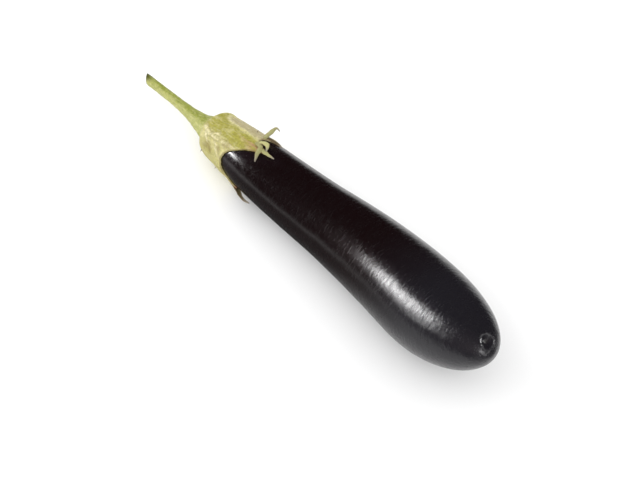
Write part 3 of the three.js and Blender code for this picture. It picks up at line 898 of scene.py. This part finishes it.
def stalk_table(form, angle):
    """Rows of points of the stalk from the middle of its cut end to the calyx, how far along each
    row is, and how much of each point is cut end."""
    middle, radius, side, up = stalk_line()
    share = np.linspace(0, 1, STALK_ROWS)
    slant = form.sizes.cut_slant * (1 - np.clip(share * 6, 0, 1)) ** 2

    def ring(i, reach):
        """Points round the stalk's middle at row i, at a reach from it."""
        point = (
            middle[i] + side[i] * (reach * np.cos(angle))[:, None]
            + up[i] * (reach * np.sin(angle))[:, None]
        )
        point[:, 0] -= slant[i] * (point[:, 1] - middle[i, 1])
        return point

    rows, places, cuts = [], [], []
    for inward in (0.0, 0.2, 0.4, 0.58, 0.74, 0.87, 0.95):
        row = ring(0, np.full_like(angle, radius[0] * inward))
        dished = 0.35 * (1 - inward ** 2) - 0.18 * max(0, inward - 0.8) / 0.2
        row[:, 0] += dished
        rows.append(row)
        places.append(0.0)
        cuts.append(np.full_like(angle, 1 + (1 - inward) ** 0.8))
    # the skin next to the cut is drawn dark, most of all on the upper side
    upper = ramp(np.cos(angle - math.radians(60)), -0.2, 0.8)
    for i in range(STALK_ROWS):
        base = float(radius[i])
        flat = ring(i, np.full_like(angle, base))
        ridges = 0.1 * np.cos(5 * angle + 2.2 * share[i]) + 0.05 * np.cos(9 * angle - 3 * share[i])
        lumps = 0.13 * ripple(flat, 6, 11) + 0.08 * ripple(flat, 2.6, 12)
        squeezed = flat * np.array([3.2, 1, 1])
        wrinkles = 0.11 * ripple(squeezed, 5, 13) * ramp(share[i], 0.62, 0.85)
        fade = ramp(share[i], 0, 0.03)
        rows.append(ring(i, base + (ridges + lumps + wrinkles) * fade - 0.25 * (1 - fade)))
        places.append(share[i])
        cuts.append(np.maximum(1 - ramp(share[i], 0, 0.02), upper * (1 - ramp(share[i], 0, 0.09))))
    return rows, places, cuts


class EGGPLANT_OT_calyx(bpy.types.Operator):
    """Builds the stalk with its cut end, and the calyx with its lobes, seams and dried edge"""

    bl_idname = "eggplant.calyx"
    bl_label = "Build Calyx and Stalk"

    def execute(self, context):
        scene = context.scene
        form, detail = Form(scene.eggplant_form), scene.eggplant_detail
        angle = np.linspace(0, FULL_TURN, detail.calyx_sides + 1)
        angle[-1] = 0.0
        edge, tip = form.edge_arc(angle)
        rim_wave = form.skin(edge, angle)
        edge = edge + 0.35 * ripple(rim_wave, 9, 21) + 0.2 * ripple(rim_wave, 3.5, 22)
        rows, places, cuts = stalk_table(form, angle)
        stalk_rows = len(rows)

        def towards_edge(shares):
            """Arcs at shares of the way from the shoulder to the edge."""
            return [SHOULDER_END + (edge - SHOULDER_END) * share for share in shares]

        shoulder = np.linspace(SHOULDER_START, SHOULDER_END, SHOULDER_ROWS)
        arcs = [np.full_like(angle, arc) for arc in shoulder]
        arcs += towards_edge(np.linspace(0, 1, LOBE_ROWS + 1)[1:])
        lifts = [form.calyx_thickness(arc, angle, edge) for arc in arcs]
        outer_rows, thickness = len(arcs), lifts[-1]
        for turn in np.linspace(0, np.pi, EDGE_ROWS + 1)[1:]:
            arcs.append(edge + thickness * 0.45 * np.sin(turn))
            lifts.append(UNDERSIDE_LIFT + (thickness - UNDERSIDE_LIFT) * (1 + np.cos(turn)) / 2)
        arcs += towards_edge(np.linspace(1, 0, UNDERSIDE_ROWS + 1)[1:])
        arcs += [np.full_like(angle, arc) for arc in UNDERSIDE_ARCS]
        lifts += [np.full_like(angle, UNDERSIDE_LIFT)] * (len(arcs) - len(lifts))
        arcs, lifts = np.array(arcs), np.array(lifts)
        depths = (np.arange(len(arcs)) < outer_rows).astype(float)[:, None]
        around = np.broadcast_to(angle, arcs.shape)
        base = form.skin(arcs, around, lifts)
        share = np.clip((arcs - SHOULDER_START) / (edge - SHOULDER_START), 0, 1)
        _, marked = form.seams(arcs, around)
        # fine ribs run from the stalk to the tips, and the pads are faintly lumpy
        squeezed = np.stack([
            arcs * 0.16, 20 * np.cos(around), 20 * np.sin(around),
        ], -1)
        ribs = 0.07 * ripple(squeezed, 2.2, 31) + 0.1 * ripple(squeezed, 5.5, 32)
        lumps = 0.1 * ripple(base, 8, 33) + 0.05 * ripple(base, 3, 34)
        creases = 0.16 * ripple(squeezed, 1.5, 35) * ramp(share * tip, 0.55, 0.95)
        raise_edge = 0.5 * ramp(share, 0.86, 1.0) * ramp(ripple(rim_wave, 14, 36), -0.2, 1.2)
        detail_lift = (ribs + lumps + creases) * ramp(share, 0.0, 0.12) * depths
        points = form.skin(arcs, around, lifts + detail_lift + raise_edge * ramp(share, 0.86, 1.0))
        points[-1] = points[-1].mean(0)
        table = np.concatenate([np.array(rows), points])
        # the rows between the stalk and the shoulder are smoothed, most of all on the low side, where
        # the one flows into the other without a step
        softness = np.zeros((len(table), len(angle)))
        low_side = ramp(np.cos(angle - math.radians(190)), -0.2, 0.7)
        sides = {"all": np.ones_like(angle), "low": low_side}
        for before, after, strength, side in JOIN_SMOOTHING:
            there = slice(stalk_rows - before, stalk_rows + after)
            softness[there] += strength * np.outer(np.hanning(before + after), sides[side])
        for _ in range(SMOOTHING_PASSES):
            middle = (table[:-2] + table[2:]) / 2
            table[1:-1] += softness[1:-1, :, None] * 0.5 * (middle - table[1:-1])

        def whole(stalk_value, calyx_values):
            """Values of the stalk's rows and then of the calyx's."""
            stalk = np.broadcast_to(np.asarray(stalk_value, float), (stalk_rows, len(angle)))
            return np.concatenate([stalk, np.broadcast_to(calyx_values, points.shape[:2])])

        rim_apart = np.abs(edge - arcs)
        near_side = ramp(around, *np.radians((100, 112))) * (1 - ramp(around, *np.radians((150, 170))))
        marks = {
            "reach": whole(np.array(places)[:, None], 1 + share),
            "seam": whole(0.0, marked * depths * ramp(share, 0.0, 0.12)),
            # painted shade along the feet of the seams on the near side
            "crease": whole(0.0, 4 * marked * (1 - marked) * depths * near_side),
            "rim": whole(0.0, np.exp(-(rim_apart / 0.5) ** 2)),
            "tip": whole(0.0, ramp(share * tip, 0.45, 0.95)),
            "patch": whole(0.0, sum(
                np.exp(-(form.apart(arcs, around, line) / size) ** 2) for size, line in PATCHES
            )),
            "cut": whole(np.array(cuts), 0.0),
        }
        turned = np.broadcast_to(angle, table.shape[:2])
        # the top of the calyx is one olive pad, and painted shade darkens it and the stalk's upper side;
        # painted shade also turns the calyx's far side and the stalk's two outline edges grey-olive
        degrees = np.degrees(turned)
        arc_there = whole(0.0, arcs)
        far_edge = 70 - 22 * (1 - ramp(arc_there, 19, 26))
        on_pad = ramp(degrees, far_edge, far_edge + 12) * (1 - ramp(degrees, 112, 126))
        on_calyx = whole(0.0, 1.0)
        stalk_upper_shade = ramp(np.cos(turned - math.radians(50)), 0.15, 0.75)
        marks["olive"] = stalk_upper_shade + (on_pad - stalk_upper_shade) * on_calyx
        # painted shade: grey-olive on the calyx's far side and along the stalk's two outline edges
        far_side_shade = ramp(np.cos(turned - math.radians(12)), 0.44, 0.56) * ramp(arc_there, 19, 26)
        outline_shade = (
            0.75 * ramp(np.cos(turned - math.radians(20)), 0.75, 0.92)
            + 0.6 * ramp(np.cos(turned - math.radians(228)), 0.8, 0.95)
        )
        marks["drab"] = outline_shade + (far_side_shade - outline_shade) * on_calyx
        travel = np.concatenate([
            np.repeat(np.linspace(-80, 10, stalk_rows)[:, None], len(angle), 1), arcs,
        ])
        marks["fibres"] = MM * np.stack(
            [travel * 0.14, 8 * np.cos(turned), 8 * np.sin(turned)], -1
        )
        piece = add_sheet("calyx_and_stalk", form.to_frame(table), marks)
        close_up(piece)
        finish_piece(piece, green_calyx(scene.eggplant_finish))
        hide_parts("calyx_stem")
        return {"FINISHED"}


def blade_points(form, width, root_twist, end_twist, path, columns=10, rows=44):
    """A cupped blade that follows its path, narrows to a withered end and twists."""
    arcs, angles, lifts = np.array(path, float).T
    knots = form.skin(arcs, np.radians(angles), lifts)
    curve = smooth_curve(knots, rows + 1)
    along = unit(np.gradient(curve, axis=0))
    root = np.radians(angles[:1])
    out = unit(form.skin(arcs[:1], root, 1.0) - form.skin(arcs[:1], root, 0.0))[0]
    across = unit(np.cross(out, along[0]))
    side = unit(across - along * (along @ across)[:, None])
    normal = np.cross(along, side)
    share = np.linspace(0, 1, rows + 1)
    turn = np.radians(root_twist + (end_twist - root_twist) * share ** 1.2)
    turned = side * np.cos(turn)[:, None] + normal * np.sin(turn)[:, None]
    upright = normal * np.cos(turn)[:, None] - side * np.sin(turn)[:, None]
    half = width / 2 * (1 - 0.86 * share ** 1.9) * (1 + 0.12 * np.sin(9 * share + width * 5))
    place = np.linspace(-1, 1, columns + 1)
    cup = 0.28 * half[:, None] * (1 - place ** 2)
    ragged = half[:, None] * place * (1 + 0.08 * np.sin(23 * share[:, None] + 2.5 * np.sign(place)))
    return curve[:, None] + turned[:, None] * ragged[..., None] + upright[:, None] * cup[..., None]


class EGGPLANT_OT_dried_tips(bpy.types.Operator):
    """Builds the dried tips of the calyx lobes, thin cupped blades that curl off the skin"""

    bl_idname = "eggplant.dried_tips"
    bl_label = "Build Dried Tips"

    def execute(self, context):
        scene = context.scene
        form = Form(scene.eggplant_form)
        tissue = dried_tissue(scene.eggplant_finish)
        for name, (width, dry, root_twist, end_twist, path) in DRIED_TIPS.items():
            points = blade_points(form, width, root_twist, end_twist, path)
            dryness = np.full(points.shape[:2], dry)
            piece = add_sheet(name, form.to_frame(points), {"dry": dryness})
            apply_modifier(
                piece, "SOLIDIFY", thickness=scene.eggplant_form.tip_thickness, offset=0.0
            )
            apply_modifier(piece, "SUBSURF", levels=1, render_levels=1)
            close_up(piece)
            finish_piece(piece, tissue)
        return {"FINISHED"}


class EGGPLANT_OT_prickles(bpy.types.Operator):
    """Builds the small pointed prickles of the calyx and the stalk"""

    bl_idname = "eggplant.prickles"
    bl_label = "Build Prickles"

    def execute(self, context):
        scene = context.scene
        form = Form(scene.eggplant_form)
        tissue = dried_tissue(scene.eggplant_finish)
        height = scene.eggplant_form.prickle_height
        middle, radius, side, up = stalk_line()
        places = []
        for share, degrees in STALK_PRICKLES:
            i, angle = int(share * (STALK_ROWS - 1)), math.radians(degrees)
            out = side[i] * math.cos(angle) + up[i] * math.sin(angle)
            root = middle[i] + out * (radius[i] - PRICKLE_ROOT)
            places.append((root, root + out * height / MM + (0.6, 0, 0)))
        for arc, degrees in PRICKLES:
            arc, angle = np.array(float(arc)), np.array(math.radians(degrees))
            surface = form.calyx_thickness(arc, angle, form.edge_arc(angle)[0])
            places.append((
                form.skin(arc, angle, surface - PRICKLE_ROOT),
                form.skin(arc + height / MM / 2, angle, surface + height / MM),
            ))
        made = []
        for index, ends in enumerate(places):
            root, point = (Vector(form.to_frame(end)) for end in ends)
            deselect_all()
            bpy.ops.mesh.primitive_circle_add(
                vertices=10, radius=PRICKLE_RADIUS, fill_type="NGON",
                location=root, rotation=(point - root).to_track_quat("Z", "Y").to_euler(),
            )
            thorn = bpy.context.active_object
            thorn.name = thorn.data.name = f"prickle_{index + 1}"
            bpy.ops.object.mode_set(mode="EDIT")
            bpy.ops.mesh.select_all(action="SELECT")
            step = (point - root) / 5
            for narrower in (0.62, 0.68, 0.7, 0.66, 0.2):
                bpy.ops.mesh.extrude_region_move(TRANSFORM_OT_translate={"value": step})
                bpy.ops.transform.resize(value=(narrower,) * 3)
            bpy.ops.mesh.select_all(action="SELECT")
            bpy.ops.mesh.normals_make_consistent(inside=False)
            bpy.ops.object.mode_set(mode="OBJECT")
            bpy.ops.object.transform_apply(location=True, rotation=True, scale=True)
            bpy.ops.object.shade_smooth()
            made.append(thorn)
        deselect_all()
        for thorn in made:
            thorn.select_set(True)
        bpy.context.view_layer.objects.active = made[0]
        bpy.ops.object.join()
        piece = bpy.context.active_object
        piece.name = piece.data.name = "prickles"
        dry = piece.data.attributes.new("dry", "FLOAT", "POINT")
        dry.data.foreach_set("value", [0.6] * len(piece.data.vertices))
        finish_piece(piece, tissue)
        return {"FINISHED"}


# ---- Stage -----------------------------------------------------------------------------------------


def direction(azimuth, elevation):
    """A direction from its azimuth (0 is +X, 90 is +Y) and its elevation, both in degrees."""
    a, e = math.radians(azimuth), math.radians(elevation)
    return Vector((math.cos(a) * math.cos(e), math.sin(a) * math.cos(e), math.sin(e)))


def add_key_light(power):
    """Adds the large soft light from the left. Gloss mirrors the cards and not this light."""
    deselect_all()
    away = direction(-145, 40)
    bpy.ops.object.light_add(type="AREA", location=Vector(KEY_AIM) + away * KEY_DISTANCE)
    light = bpy.context.active_object
    light.name = light.data.name = "key_light"
    light.data.shape = "SQUARE"
    light.data.size = KEY_SIZE
    light.data.energy = power
    light.rotation_euler = (-away).to_track_quat("-Z", "Y").to_euler()
    light.visible_glossy = False


def add_card(name, aim, azimuth, elevation, roll, distance, width, height, strength):
    """Adds a glowing card with soft edges for gloss to mirror. It faces a point from an azimuth and
    an elevation, with a roll, in degrees, and neither the camera nor matt surfaces see it."""
    deselect_all()
    away = direction(azimuth, elevation)
    bpy.ops.mesh.primitive_plane_add(
        size=1.0, location=Vector(aim) + away * distance,
        rotation=(
            away.to_track_quat("Z", "Y") @ Quaternion((0, 0, 1), math.radians(roll))
        ).to_euler(),
    )
    card = bpy.context.active_object
    bpy.ops.transform.resize(
        value=(width, height, 1.0), orient_type="LOCAL", center_override=card.location
    )
    card.name = card.data.name = name
    material, tree, output = new_material(name + "_white_diffuser")
    uv = add_node(tree, "TexCoord", "UV")
    offset = add_node(tree, "VectorMath", "Vector", {0: uv, 1: (0.5, 0.5, 0.0)}, operation="SUBTRACT")
    apart = add_node(tree, "VectorMath", "Value", {0: offset}, operation="LENGTH")
    share = add_node(
        tree, "MapRange", "Result",
        {"Value": apart, "From Min": 0.5, "From Max": 0.15}, interpolation_type="SMOOTHSTEP",
    )
    glow = add_node(tree, "Emission", "Emission", {"Strength": strength})
    clear = add_node(tree, "BsdfTransparent", "BSDF")
    shader = add_node(tree, "MixShader", "Shader", {0: share, 1: clear, 2: glow})
    tree.links.new(shader, output.inputs["Surface"])
    card.data.materials.append(material)
    card.visible_camera = card.visible_diffuse = card.visible_shadow = False


class EGGPLANT_OT_stage(bpy.types.Operator):
    """Sets up the pale floor, the soft light and the camera"""

    bl_idname = "eggplant.stage"
    bl_label = "Set Up Stage"

    def execute(self, context):
        scene = context.scene
        stage = scene.eggplant_stage
        deselect_all()
        bpy.ops.mesh.primitive_plane_add(size=FLOOR_SIZE, location=(0, 0, -0.0001))
        floor = bpy.context.active_object
        floor.name = floor.data.name = "floor"
        floor.data.materials.append(studio_floor(stage))
        add_key_light(stage.key_power)
        for name, settings in CARDS.items():
            add_card(name, *settings)
        world = bpy.data.worlds.new("pale_studio")
        scene.world = world
        scene.view_settings.view_transform = "Standard"
        world.use_nodes = True
        tree = world.node_tree
        tree.nodes.clear()
        by_camera, by_gloss = (
            add_node(tree, "LightPath", way) for way in ("Is Camera Ray", "Is Glossy Ray")
        )
        seen = add_node(tree, "Background", "Background", {"Color": (1.0, 1.0, 1.0), "Strength": 1.0})
        # what gloss mirrors is nearly dark, with a dim glow from beside the blossom end
        way = add_node(tree, "TexCoord", "Generated")
        towards = add_node(
            tree, "VectorMath", "Value", {0: way, 1: direction(-62, 25)}, operation="DOT_PRODUCT"
        )
        towards = add_node(tree, "Math", "Value", {0: towards, 1: 0.0}, operation="MAXIMUM")
        glow = add_node(tree, "Math", "Value", {0: towards, 1: 3.0}, operation="POWER")
        glow = add_node(tree, "Math", "Value", {0: glow, 1: 0.5, 2: 0.02}, operation="MULTIPLY_ADD")
        mirrored = add_node(
            tree, "Background", "Background", {"Color": (1.0, 0.84, 0.88), "Strength": glow}
        )
        lit = add_node(
            tree, "Background", "Background", {"Color": (1.0, 1.0, 1.0), "Strength": stage.room_light}
        )
        surroundings = add_node(tree, "MixShader", "Shader", {0: by_gloss, 1: lit, 2: mirrored})
        surroundings = add_node(tree, "MixShader", "Shader", {0: by_camera, 1: surroundings, 2: seen})
        add_node(tree, "OutputWorld", None, {"Surface": surroundings})
        a, e = stage.azimuth, stage.elevation
        back = Vector((math.sin(a) * math.cos(e), -math.cos(a) * math.cos(e), math.sin(e)))
        deselect_all()
        bpy.ops.object.camera_add(location=Vector(stage.look_at) + back * stage.distance)
        camera = bpy.context.active_object
        camera.name = camera.data.name = "camera"
        camera.rotation_mode = "QUATERNION"
        camera.rotation_quaternion = (-back).to_track_quat("-Z", "Y")
        camera.data.lens = stage.lens
        camera.data.sensor_width = 36.0
        scene.camera = camera
        return {"FINISHED"}


class EGGPLANT_PT_panel(bpy.types.Panel):
    """Lists the steps that build the eggplant"""

    bl_idname = "EGGPLANT_PT_panel"
    bl_label = "Eggplant"
    bl_space_type = "VIEW_3D"
    bl_region_type = "UI"
    bl_category = "Eggplant"

    def draw(self, context):
        for step in STEPS:
            self.layout.operator(step.bl_idname)
        for name in SETTINGS:
            box = self.layout.box()
            settings = getattr(context.scene, name)
            for key in settings.bl_rna.properties.keys():
                if key not in ("rna_type", "name"):
                    box.prop(settings, key)


STEPS = (
    EGGPLANT_OT_fruit,
    EGGPLANT_OT_calyx,
    EGGPLANT_OT_dried_tips,
    EGGPLANT_OT_prickles,
    EGGPLANT_OT_stage,
)
SETTINGS = {
    "eggplant_form": EggplantForm,
    "eggplant_finish": EggplantFinish,
    "eggplant_stage": EggplantStage,
    "eggplant_detail": EggplantDetail,
}


def register():
    """Registers the settings, the steps and the panel."""
    for name, group in SETTINGS.items():
        bpy.utils.register_class(group)
        setattr(bpy.types.Scene, name, PointerProperty(type=group))
    for step in (*STEPS, EGGPLANT_PT_panel):
        bpy.utils.register_class(step)


def unregister():
    """Takes them out again."""
    for step in (EGGPLANT_PT_panel, *reversed(STEPS)):
        bpy.utils.unregister_class(step)
    for name, group in reversed(SETTINGS.items()):
        delattr(bpy.types.Scene, name)
        bpy.utils.unregister_class(group)


def main():
    """Builds the eggplant and its stage."""
    register()
    bpy.ops.eggplant.fruit()
    bpy.ops.eggplant.calyx()
    bpy.ops.eggplant.dried_tips()
    bpy.ops.eggplant.prickles()
    bpy.ops.eggplant.stage()


if __name__ == "__main__":
    main()
